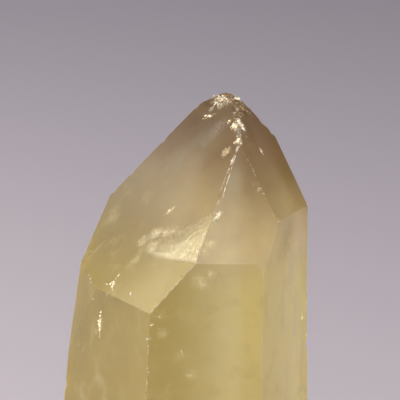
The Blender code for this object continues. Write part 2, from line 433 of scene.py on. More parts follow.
def addScoopTool():
    # a ball whose side dips into the crystal, for the shell-shaped scars of broken quartz
    bpy.ops.mesh.primitive_ico_sphere_add(subdivisions=3, radius=1.0, location=(0.0, 0.0, 0.0))
    tool = bpy.context.object
    tool.name = "scoopTool"
    # only the cap that dips in is kept
    bpy.ops.object.mode_set(mode="EDIT")
    bpy.ops.mesh.select_all(action="SELECT")
    bpy.ops.mesh.bisect(plane_co=(0.0, 0.0, wear["scoopCap"]), plane_no=upward, use_fill=True,
                        clear_outer=True, threshold=crystal["cutTolerance"])
    bpy.ops.object.mode_set(mode="OBJECT")
    markFresh(tool)
    return tool


def addNickTool(seed):
    # a small angular lump, for nicks and crumbs
    bpy.ops.mesh.primitive_ico_sphere_add(subdivisions=1, radius=1.0, location=(0.0, 0.0, 0.0))
    tool = bpy.context.object
    tool.name = "nickTool"
    bpy.ops.object.mode_set(mode="EDIT")
    bpy.ops.mesh.select_all(action="SELECT")
    bpy.ops.transform.vertex_random(offset=wear["nickUnevenness"], uniform=0.5, seed=seed)
    bpy.ops.object.mode_set(mode="OBJECT")
    markFresh(tool)
    return tool


def markFresh(tool):
    # a cutter's second material slot marks the faces that it leaves as freshly broken
    for mark in marks:
        tool.data.materials.append(mark)
    tool.data.polygons.foreach_set("material_index", [1] * len(tool.data.polygons))


def placeTool(tool, place, outward, sizes, turn):
    # sizes in mm, the third along the outward direction
    made = copyOf(tool)
    aim = outward.to_track_quat("Z", "Y").to_matrix().to_4x4()
    spin = aim @ Matrix.Rotation(turn, 4, "Z")
    made.matrix_world = (Matrix.Translation(place * mm) @ spin @ Matrix.Diagonal((*sizes, 1.0))
                         @ Matrix.Scale(mm, 4))
    return made


def anyTurn(rng):
    return rng.uniform(0.0, math.tau)


def leanedOff(outward, most, rng):
    # a direction pushed off by at most this much along each axis
    return (outward + Vector([rng.uniform(-most, most) for _ in range(3)])).normalized()


def scoopAt(tool, place, outward, width, depth, rng):
    radius = (width * width / 4 + depth * depth) / (2 * depth)
    stretch = rng.uniform(*wear["scoopStretch"])
    turn = anyTurn(rng)
    center = place + outward * (radius - depth)
    return placeTool(tool, center, outward, (radius, radius * stretch, radius), turn)


def edgeOf(face, other, startFace, endFace):
    # the edge between two faces: its two ends and its outward direction
    ends = [cornerOf(face, other, third) for third in (startFace, endFace)]
    return (*ends, (planeOf(face)[0] + planeOf(other)[0]).normalized())


def edgeChips(tool, rng):
    made = []
    for face, other, startFace, endFace, places, widths, depth in wear["edgeChips"]:
        start, end, outward = edgeOf(face, other, startFace, endFace)
        for place in places:
            sideways = planeOf(rng.choice((face, other)))[0]
            push = (outward + sideways * rng.uniform(*wear["chipLean"])).normalized()
            width = rng.uniform(*widths)
            deep = depth * rng.uniform(*wear["chipDepthShare"])
            made.append(scoopAt(tool, start.lerp(end, place), push, width, deep, rng))
    return made


def apexScoops(tool, rng):
    made = []
    swing = wear["apexSwing"]
    for side, x, y, z, width, depth in wear["apexScoops"]:
        azimuth, lean, _ = crystal["apexBreaks"][side]
        turned = azimuth + rng.uniform(-swing, swing)
        leaned = lean + rng.uniform(-swing, swing)
        made.append(scoopAt(tool, Vector((x, y, z)), normalOf(turned, leaned), width, depth, rng))
    return made


def faceBruises(tool, rng):
    return [scoopAt(tool, onFace(face, right, height), planeOf(face)[0], width, depth, rng)
            for face, right, height, width, depth in wear["faceBruises"]]


def footChips(tool, rng):
    chips = wear["footChips"]
    names = list(crystal["prismFaces"])
    corners = [cornerOf("foot", names[i], names[i - 1]) for i in range(len(names))]
    made = []
    for number in range(chips["count"]):
        shift = rng.uniform(-chips["unevenness"], chips["unevenness"])
        along = (number + shift) / chips["count"] * len(names)
        side = math.floor(along) % len(names)
        spot = corners[side].lerp(corners[(side + 1) % len(names)], along % 1.0)
        outward = Vector((spot.x, spot.y, -rng.uniform(*chips["drop"]))).normalized()
        width = rng.uniform(*chips["widths"])
        made.append(scoopAt(tool, spot, outward, width, chips["depth"], rng))
    return made


def nicksAlong(tools, edges, rng):
    made = []
    for start, end, outward in edges:
        run = end - start
        for _ in range(round(run.length * wear["nicksPerMm"])):
            radius = rng.uniform(*wear["nickRadius"])
            spot = start + run * rng.random() + outward * radius * rng.uniform(*wear["nickRise"])
            lean = leanedOff(outward, wear["nickLean"], rng)
            made.append(placeTool(rng.choice(tools), spot, lean,
                                  (radius * rng.uniform(*wear["nickStretch"]), radius, radius),
                                  anyTurn(rng)))
    return made


def crumbs(tools, rng):
    made = []
    for face, right, height, halfRight, halfUp, count, radii in wear["crumbs"]:
        outward = planeOf(face)[0]
        for _ in range(count):
            radius = rng.uniform(*radii)
            spot = onFace(face, right + halfRight * rng.uniform(-1, 1),
                          height + halfUp * rng.uniform(-1, 1))
            lean = leanedOff(outward, wear["crumbLean"], rng)
            made.append(placeTool(rng.choice(tools),
                                  spot + outward * radius * rng.uniform(*wear["crumbRise"]), lean,
                                  (radius, radius * rng.uniform(*wear["crumbStretch"]), radius),
                                  anyTurn(rng)))
    return made


def teeth(tools, rng):
    made = []
    for *edge, first, last, count, radii in wear["teeth"]:
        start, end, outward = edgeOf(*edge)
        for number in range(count):
            radius = rng.uniform(*radii)
            part = first + (last - first) * (number + rng.random()) / count
            lean = leanedOff(outward, wear["nickLean"], rng)
            spot = start.lerp(end, part) + outward * radius * rng.uniform(*wear["toothRise"])
            made.append(placeTool(rng.choice(tools), spot, lean, (radius, radius, radius),
                                  anyTurn(rng)))
    return made


def bandPlanes():
    # the ground slope along one edge, and the planes across it at its top and foot
    start, end, outward = edgeOf(*wear["bandEdge"])
    top, foot = (start.lerp(end, part) for part in wear["bandSpan"])
    run = (foot - top).normalized()
    high, low = wear["bandDepths"]
    slope = (foot - outward * low) - (top - outward * high)
    normal = slope.cross(outward.cross(slope)).normalized()
    return [(normal, normal.dot(top - outward * high)), (-run, -run.dot(top)), (run, run.dot(foot))]


def wornBand():
    # a narrow slope ground along one edge, which widens downward and stops at a chip
    slope, top, foot = bandPlanes()
    band = addBlank("bandCutter")
    bpy.ops.object.mode_set(mode="EDIT")
    for plane in ((-slope[0], -slope[1]), foot, top):
        cutAway(*plane)
    bpy.ops.object.mode_set(mode="OBJECT")
    band.data.materials.append(marks[0])
    return band


marks = [bpy.data.materials.new(name) for name in ("skinMark", "freshMark")]
crystalPoint.data.materials.clear()
for mark in marks:
    crystalPoint.data.materials.append(mark)
scoopTool = addScoopTool()
nickTools = [addNickTool(seed) for seed in wear["nickSeeds"]]
rng = random.Random(wear["seed"])
scars = edgeChips(scoopTool, rng) + apexScoops(scoopTool, rng)
scars += faceBruises(scoopTool, rng) + footChips(scoopTool, rng)
scars += nicksAlong(nickTools, wornEdges.values(), rng) + crumbs(nickTools, rng)
scars += teeth(nickTools, rng) + [wornBand()]
print("wear placed,", len(scars), "scars")
takeOut(crystalPoint, scars, "scars")
print("wear cut,", len(crystalPoint.data.polygons), "faces")
for tool in [scoopTool, *nickTools]:
    bpy.data.objects.remove(tool, do_unlink=True)


def keepFreshMark(piece):
    # the second slot becomes an attribute, so that one material covers the whole crystal; what
    # lies level with a break of the apex counts as its skin
    mesh = piece.data
    breaks = [planeOf(name)[0] for name in crystal["apexBreaks"]]
    fresh = [float(face.material_index == 1 and not any(
        face.normal.dot(normal) > wear["levelWithBreak"] for normal in breaks))
             for face in mesh.polygons]
    mark = mesh.attributes.new("freshBreak", "FLOAT", "FACE")
    mark.data.foreach_set("value", fresh)
    mesh.polygons.foreach_set("material_index", [0] * len(fresh))
    mesh.materials.clear()


keepFreshMark(crystalPoint)


# citrine: quartz coloured pale yellow by iron, glassy, slightly clouded by fine veils
# honey yellow where it is thick, paler and greyer above, smoky brown at the tip

citrine = {
    "ior": 1.544,
    "transmission": 0.85,
    # left and right of the prism, left and right of the point, the right ones lighter for painted
    # light that comes through from behind right, and the smoky tip
    "honey": ("#d0be78", "#fff6c8"),
    "pale": ("#bdb09c", "#f2e0c6"),
    "smoke": "#8f7458",
    "cream": "#fff6cc",
    "shade": "#bfb284",
    "rust": "#d2a468",
    "freshWhite": "#fffaf0",
    "umber": "#6e4e36",
    "olive": "#a8997a",
    "mist": "#c8cebc",
    "lavender": "#e8dce4",
    "absorbColor": "#fff661",
    "absorbDensity": 20.0,
    # roughness of glossy faces, of faces turned from the front, of fresh breaks and of the patch,
    # and how far a face is turned away, as a cosine, where it is all dull
    "glossyRoughness": 0.28,
    "hazyRoughness": 0.65,
    "freshRoughness": 0.3,
    "grainRoughness": 0.17,
    "dullFacing": 0.3,
    # how much higher a place right of the middle reads, in mm per mm, how far the clouds shift a
    # height, and how much higher a sloping face reads, in mm
    "smokeTilt": 0.22,
    "cloudShift": 7.0,
    "paleSlope": 10.0,
    # patterns in the stone: size in mm and how many finer levels they have; the ripples of a
    # real break are finer than these, which are as coarse as they must be to show
    "noises": {
        "clouds": (9.0, 3.0),
        "rustPatches": (6.0, 3.0),
        "waves": (5.0, 1.0),
        "healedPuffs": (3.4, 4.0),
        "specks": (0.45, 2.0),
        "ripples": (0.35, 2.0),
    },
    # smooth changes: what each follows, the values between which it grows, its least and most
    "changes": {
        # painted light: from left to right, where the honey and the pale colour brighten, standing
        # in for light that comes through from behind right
        "honeyPaintedLight": ("rightward", -4.0 * mm, 12.0 * mm, 0.0, 1.0),
        "palePaintedLight": ("rightward", -10.0 * mm, 9.0 * mm, 0.0, 1.0),
        # upward, where honey has turned pale, and where pale has turned smoky
        "paleness": ("slopingHeight", 60.0 * mm, 72.0 * mm, 0.0, 1.0),
        "smokiness": ("stirredHeight", 67.5 * mm, 79.5 * mm, 0.0, 1.0),
        # iron stain low on the prism
        "stain": ("rustPatches", 0.48, 0.76, 0.0, 0.5),
        "lowness": ("height", 46.0 * mm, 30.0 * mm, 0.0, 1.0),
        # pale puffs where healed cracks lie under the faces, gathered by the clouds, and shades
        "puffy": ("healedPuffs", 0.48, 0.74, 0.0, 0.6),
        "gathered": ("clouds", 0.44, 0.60, 0.25, 1.0),
        "shaded": ("healedPuffs", 0.48, 0.30, 0.0, 0.25),
        # the specks that break up the soft spots
        "speckled": ("specks", 0.30, 0.52, 0.0, 1.0),
        # the patch: on its face, from its ragged upper border down, up from its lower edge and
        # rightward, in mm, then the crests of its grains and the frost round it, which carry its
        # painted sheen
        "thatFace": ("facingPatch", 0.970, 0.985, 0.0, 1.0),
        "belowBorder": ("raggedAcross", -2.2, -5.2, 0.0, 1.0),
        "aboveEdge": ("upFromEdge", -0.5, 1.3, 0.0, 1.0),
        "alongPatch": ("alongBorder", -1.0, 5.0, 0.35, 1.0),
        "crest": ("grain", 0.34, 0.50, 0.0, 1.0),
        "frostAndSheenFade": ("acrossBorder", 3.0, -8.0, 0.0, 0.8),
    },
    # soft spots of another colour: face, right, height, half length and half width in mm, turn
    # from level in degrees, strength
    "spots": {
        # painted shade in the dark hollow of the right break (the first two), and smoke gathered in
        # the broken apex and along its edges
        "umber": [
            ("breakRight", 9.7, 79.3, 1.5, 1.0, 80.0, 0.9),
            ("breakRight", 8.6, 78.2, 1.2, 0.7, 60.0, 0.7),
            ("breakLeft", -6.0, 79.4, 2.0, 0.9, 20.0, 0.7),
            ("breakLeft", -2.6, 80.2, 1.0, 0.7, 40.0, 0.6),
            ("pointLeft", -5.6, 76.8, 1.8, 1.4, 40.0, 0.5),
            ("pointRight", 5.2, 76.5, 3.5, 1.4, 70.0, 0.6),
        ],
        # the left side is a little deeper in colour
        "olive": [
            ("prismLeft", -8.0, 46.0, 14.0, 3.5, 90.0, 0.5),
            ("prismLeft", 3.0, 53.0, 6.0, 2.5, 10.0, 0.5),
            ("pointLeft", -8.0, 59.0, 6.0, 4.5, 50.0, 0.5),
            ("sliverLeft", 0.0, 52.0, 8.0, 3.0, 90.0, 0.4),
            ("prismRight", -0.5, 62.0, 4.5, 3.0, 60.0, 0.6),
        ],
        # healed cracks come up to the face; the last two, broad and low on the right, are painted
        # light that comes through from behind right
        "cream": [
            ("pointLeft", -9.8, 57.2, 2.2, 0.4, 70.0, 0.5),
            ("pointLeft", 5.8, 74.3, 1.2, 0.8, 60.0, 0.7),
            ("prismLeft", -2.2, 47.7, 1.5, 0.8, 90.0, 0.8),
            ("prismLeft", -4.6, 45.0, 2.5, 0.7, 80.0, 0.4),
            ("pointFront", 2.9, 62.5, 1.4, 1.1, 0.0, 1.0),
            ("pointFront", 2.1, 61.5, 0.9, 0.9, 0.0, 0.8),
            ("pointFront", 7.0, 61.4, 2.2, 1.0, 10.0, 0.3),
            ("prismFront", 3.1, 58.2, 1.0, 0.9, 0.0, 0.9),
            ("prismFront", 1.6, 56.8, 1.9, 1.1, 0.0, 0.8),
            ("prismFront", -4.1, 49.2, 1.2, 1.0, 20.0, 0.6),
            ("prismFront", 6.3, 55.9, 1.2, 0.8, 20.0, 0.4),
            ("prismFront", 0.3, 42.8, 1.2, 1.0, 0.0, 0.6),
            ("prismFront", 9.2, 40.0, 6.5, 2.6, 90.0, 0.4),
            ("prismRight", 0.8, 37.5, 6.0, 3.0, 90.0, 0.35),
        ],
        # grey mist hangs under the upper faces
        "mist": [
            ("pointLeft", -1.6, 72.6, 7.0, 4.6, 55.0, 0.5),
            ("pointLeft", 1.5, 67.5, 7.0, 4.0, 50.0, 0.3),
            ("pointFront", 6.4, 71.4, 4.0, 2.6, 80.0, 0.4),
        ],
        # painted reflection: upright lavender streaks on the right prism face, standing in for its
        # striations reflecting the pale floor, and one lavender spot on the left point face near
        # the tip
        "lavender": [
            ("prismRight", 1.2, 57.0, 5.0, 1.4, 88.0, 0.7),
            ("prismRight", 4.8, 60.0, 4.5, 1.6, 86.0, 0.9),
            ("prismRight", -1.8, 52.0, 6.0, 1.0, 90.0, 0.6),
            ("prismRight", 2.8, 47.0, 6.0, 1.2, 87.0, 0.6),
            ("prismRight", 6.0, 43.0, 7.0, 1.0, 89.0, 0.6),
            ("prismRight", 0.2, 40.0, 5.0, 1.0, 91.0, 0.4),
            ("pointLeft", 0.6, 76.9, 2.4, 1.6, 70.0, 0.5),
        ],
    },
    # etched ones, grained like the patch beside them
    "etchedSpots": [
        ("pointLeft", 3.4, 62.3, 1.3, 1.2, 62.0, 0.45),
        ("pointLeft", 1.3, 61.7, 1.6, 1.3, 50.0, 0.50),
        ("pointLeft", -0.4, 60.3, 1.5, 1.1, 45.0, 0.40),
        ("pointLeft", 2.6, 60.0, 1.6, 1.4, 40.0, 0.55),
        ("pointLeft", 0.6, 57.6, 1.2, 0.7, 40.0, 0.30),
        ("pointLeft", 1.5, 65.0, 1.3, 0.5, 60.0, 0.35),
        ("pointLeft", 4.9, 62.8, 1.6, 1.0, 62.0, 0.40),
    ],
    # spots fade out between these shares of their size; these ones are broken up by the clouds
    "spotEdge": (1.2, 0.1),
    "cloudySpots": ("mist",),
    # etched grain beside the front left edge: the face, right and height of the patch's lower
    # left corner, turn of its upper border, its lower edge and the grain from level in degrees
    "grainFace": "pointLeft",
    "grainCorner": (3.7, 58.8),
    "borderTurn": 45.0,
    "lowerTurn": 9.0,
    "grainTurn": 62.0,
    # length and width of one grain in mm, how unlike they are, how far they shift the border in
    # mm, and how far the grains and the frost lean toward the light, as a slope
    "grainSize": (0.7, 0.34),
    "grainVariety": 0.6,
    "raggedness": -8.0,
    "grainSlope": 0.24,
    "frostSlope": 0.035,
    # growth lines across the prism faces: their length and spacing in mm
    "lineSize": (16.7, 0.9),
    # depth of the relief in mm, from broad to fine
    "relief": {"waves": 0.03, "growthLines": 0.012, "etchedGrain": 0.13, "ripples": 0.08},
    # how white a fresh break is, at least and at most, and the ripples between which it changes
    "freshShare": (0.1, 0.9),
    "freshRange": (0.35, 0.65),
}


def span(start, end, least=0.0, most=1.0):
    # settings of a smooth change from least to most between two values
    return {"interpolation_type": "SMOOTHSTEP", "From Min": start, "From Max": end, "To Min": least,
            "To Max": most}


def turnedOnFace(normal, degrees):
    # a face's own axes: turned from level in the face, across that, and out of the face
    along = Matrix.Rotation(math.radians(degrees), 3, normal) @ acrossOf(normal)
    return Matrix((along, normal.cross(along), normal)).transposed().to_euler()


def addSpots(tree, point, spots):
    # the strongest of all the spots at each point
    strongest = None
    for face, right, height, halfLong, halfWide, turn, strength in spots:
        near = addNode(tree, "ShaderNodeMapping", {
            "vector_type": "TEXTURE", "Location": onFace(face, right, height) * mm,
            "Rotation": turnedOnFace(planeOf(face)[0], turn),
            "Scale": (halfLong * mm, halfWide * mm, halfWide * mm)}, {"Vector": point})
        reach = addNode(tree, "ShaderNodeVectorMath", {"operation": "LENGTH"}, {0: near})
        soft = addNode(tree, "ShaderNodeMapRange", span(*citrine["spotEdge"], most=strength),
                       {"Value": reach})
        strongest = soft if strongest is None else addNode(
            tree, "ShaderNodeMath", {"operation": "MAXIMUM"}, {0: strongest, 1: soft})
    return strongest


def makeCitrine():
    # a Mix node takes its factor at 0, two numbers at 2 and 3, and two colours at 6 and 7
    material, tree = newMaterial("citrineQuartz")
    place = addNode(tree, "ShaderNodeTexCoord")
    point, outward = place.outputs["Object"], place.outputs["Normal"]
    fresh = addNode(tree, "ShaderNodeAttribute", {"attribute_name": "freshBreak"}).outputs["Fac"]

    # what the markings follow: patterns in the stone, and places stirred by its clouds
    follow = {name: addNode(tree, "ShaderNodeTexNoise",
                            {"Scale": 1 / (size * mm), "Detail": detail}, {"Vector": point})
              for name, (size, detail) in citrine["noises"].items()}
    axes = addNode(tree, "ShaderNodeSeparateXYZ", links={0: point})
    slope = addNode(tree, "ShaderNodeSeparateXYZ", links={0: outward})
    follow["rightward"], follow["height"] = axes.outputs["X"], axes.outputs["Z"]
    stirred = follow["height"]
    for name, share, source in (("tiltedHeight", citrine["smokeTilt"], follow["rightward"]),
                                ("stirredHeight", citrine["cloudShift"] * mm, follow["clouds"]),
                                ("slopingHeight", citrine["paleSlope"] * mm, slope.outputs["Z"])):
        stirred = addNode(tree, "ShaderNodeMath", {"operation": "MULTIPLY_ADD", 1: share},
                          {0: source, 2: stirred})
        follow[name] = stirred

    # the etched patch lies on one face: its axes run along its upper border and across it
    normal, _ = planeOf(citrine["grainFace"])
    corner = onFace(citrine["grainFace"], *citrine["grainCorner"]) * mm
    grainLength, grainWidth = (size * mm for size in citrine["grainSize"])
    grainSpace, borderSpace = (
        addNode(tree, "ShaderNodeMapping", {"vector_type": "TEXTURE", "Location": corner,
                                            "Rotation": turnedOnFace(normal, turn), "Scale": size},
                {"Vector": point})
        for turn, size in ((citrine["grainTurn"], (grainLength, grainWidth, grainWidth)),
                           (citrine["borderTurn"], (mm, mm, mm))))
    grain = addNode(tree, "ShaderNodeTexNoise", {
        "Scale": 1.0, "Detail": 3.0, "Roughness": citrine["grainVariety"]}, {"Vector": grainSpace})
    patchAxes = addNode(tree, "ShaderNodeSeparateXYZ", links={0: borderSpace})
    follow["grain"] = grain
    follow["alongBorder"], follow["acrossBorder"] = patchAxes.outputs["X"], patchAxes.outputs["Y"]
    follow["raggedAcross"] = addNode(
        tree, "ShaderNodeMath", {"operation": "MULTIPLY_ADD", 1: citrine["raggedness"]},
        {0: grain, 2: patchAxes.outputs["Y"]})
    lower = math.radians(citrine["borderTurn"] - citrine["lowerTurn"])
    for name, direction, source in (
            ("upFromEdge", (math.sin(lower), math.cos(lower), 0.0), borderSpace),
            ("facingPatch", normal, outward), ("facingBack", (0.0, 1.0, 0.0), outward)):
        follow[name] = addNode(tree, "ShaderNodeVectorMath", {
            "operation": "DOT_PRODUCT", 1: direction}, {0: source})
    change = {name: addNode(tree, "ShaderNodeMapRange", span(*ends), {"Value": follow[source]})
              for name, (source, *ends) in citrine["changes"].items()}

    # shares: each is the product of its parts
    freshStart, freshEnd = citrine["freshRange"]
    crushing = addNode(tree, "ShaderNodeMapRange", {
        "From Min": freshStart, "From Max": freshEnd, "To Min": citrine["freshShare"][0],
        "To Max": citrine["freshShare"][1]}, {"Value": follow["ripples"]})
    parts = {
        "rusting": (change["stain"], change["lowness"]),
        "puffs": (change["puffy"], change["gathered"]),
        "whitened": (crushing, fresh),
        "patch": (change["belowBorder"], change["aboveEdge"], change["alongPatch"],
                  change["thatFace"]),
        "wisps": (addSpots(tree, point, citrine["etchedSpots"]), change["speckled"]),
        "frostAndSheenZone": (change["frostAndSheenFade"], change["thatFace"]),
    }
    for color, spots in citrine["spots"].items():
        breaking = change["gathered" if color in citrine["cloudySpots"] else "speckled"]
        parts[color] = (addSpots(tree, point, spots), breaking)
    share = {}
    for name, (first, *others) in parts.items():
        share[name] = first
        for other in others:
            share[name] = addNode(tree, "ShaderNodeMath", {"operation": "MULTIPLY"},
                                  {0: share[name], 1: other})
    grained = addNode(tree, "ShaderNodeMath", {"operation": "MAXIMUM"},
                      {0: share["patch"], 1: share["wisps"]})
    sheltered = addNode(tree, "ShaderNodeMath", {"operation": "SUBTRACT", 0: 1.0}, {1: grained})
    crests, frostAndSheenRound, grainHeight = (
        addNode(tree, "ShaderNodeMath", {"operation": "MULTIPLY"}, {0: first, 1: second})
        for first, second in ((grained, change["crest"]), (share["frostAndSheenZone"], sheltered),
                              (grain, grained)))
    paintedSheen = addNode(tree, "ShaderNodeMath", {"operation": "MAXIMUM"}, {0: crests, 1: frostAndSheenRound})

    # colour: honey and pale meet, lighter to the right for painted light, then stain, shades,
    # puffs, smoke, spots, frost with the patch's painted sheen, and fresh breaks are laid over each
    # other
    bodies = [addNode(tree, "ShaderNodeMix", {"data_type": "RGBA", 6: srgb(left), 7: srgb(right)},
                      {0: light})
              for (left, right), light in ((citrine["honey"], change["honeyPaintedLight"]),
                                           (citrine["pale"], change["palePaintedLight"]))]
    colored = addNode(tree, "ShaderNodeMix", {"data_type": "RGBA"},
                      {0: change["paleness"], 6: bodies[0], 7: bodies[1]})
    layers = [("rust", share["rusting"]), ("shade", change["shaded"]), ("cream", share["puffs"]),
              ("smoke", change["smokiness"])]
    layers += [(color, share[color]) for color in citrine["spots"]]
    # painted sheen: cream on the grain crests and on the frost round the etched patch, where the
    # lamp's highlight falls
    layers += [("cream", paintedSheen), ("freshWhite", share["whitened"])]
    for color, much in layers:
        colored = addNode(tree, "ShaderNodeMix", {"data_type": "RGBA", 7: srgb(citrine[color])},
                          {0: much, 6: colored})

    # relief: slow waves, growth lines level across the prism, grains, rippled fresh breaks
    lineLength, lineSpacing = (size * mm for size in citrine["lineSize"])
    layered = addNode(tree, "ShaderNodeMapping", {
        "Scale": (1 / lineLength, 1 / lineLength, 1 / lineSpacing)}, {"Vector": point})
    lines = addNode(tree, "ShaderNodeTexNoise", {"Scale": 1.0, "Detail": 3.0}, {"Vector": layered})
    heights = {"waves": follow["waves"], "growthLines": lines, "etchedGrain": grainHeight,
               "ripples": follow["ripples"]}
    raised = None
    for name, depth in citrine["relief"].items():
        links = {"Height": heights[name]}
        if raised:
            links["Normal"] = raised
        if name == "ripples":
            links["Strength"] = fresh
        raised = addNode(tree, "ShaderNodeBump", {"Distance": depth * mm}, links)

    # grains and frost lean down their face, toward a lamp
    grainLean = addNode(tree, "ShaderNodeMath", {"operation": "MULTIPLY", 1: citrine["grainSlope"]},
                        {0: grained})
    leaning = addNode(tree, "ShaderNodeMath", {
        "operation": "MULTIPLY_ADD", 1: citrine["frostSlope"]}, {0: frostAndSheenRound, 2: grainLean})
    downFace = turnedOnFace(normal, citrine["borderTurn"]).to_matrix() @ Vector((0.0, -1.0, 0.0))
    leanAway = addNode(tree, "ShaderNodeVectorMath", {"operation": "SCALE", 0: downFace},
                       {"Scale": leaning})
    leaned = addNode(tree, "ShaderNodeVectorMath", {"operation": "ADD"}, {0: raised, 1: leanAway})
    turned = addNode(tree, "ShaderNodeVectorMath", {"operation": "NORMALIZE"}, {0: leaned})

    # the prism and point faces turned away from the front are striated and etched dull
    roughness = addNode(tree, "ShaderNodeMapRange", {
        "From Min": 0.0, "From Max": citrine["dullFacing"], "To Min": citrine["glossyRoughness"],
        "To Max": citrine["hazyRoughness"]}, {"Value": follow["facingBack"]})
    for name, much in (("grainRoughness", grained), ("freshRoughness", fresh)):
        roughness = addNode(tree, "ShaderNodeMix", {"data_type": "FLOAT", 3: citrine[name]},
                            {0: much, 2: roughness})
    shader = addNode(tree, "ShaderNodeBsdfPrincipled", {
        "IOR": citrine["ior"], "Transmission Weight": citrine["transmission"]},
        {"Base Color": colored, "Roughness": roughness, "Normal": turned})
    depthColor = addNode(tree, "ShaderNodeVolumeAbsorption", {
        "Color": srgb(citrine["absorbColor"]), "Density": citrine["absorbDensity"]})
    addNode(tree, "ShaderNodeOutputMaterial", links={"Surface": shader, "Volume": depthColor})
    return material


crystalPoint.data.materials.append(makeCitrine())
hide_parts("crystal_point")
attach(crystalPoint, "root")
print("crystal finished")


# healed cracks where they come up to the faces: shards that lie flat in the crack, so they
# flash together

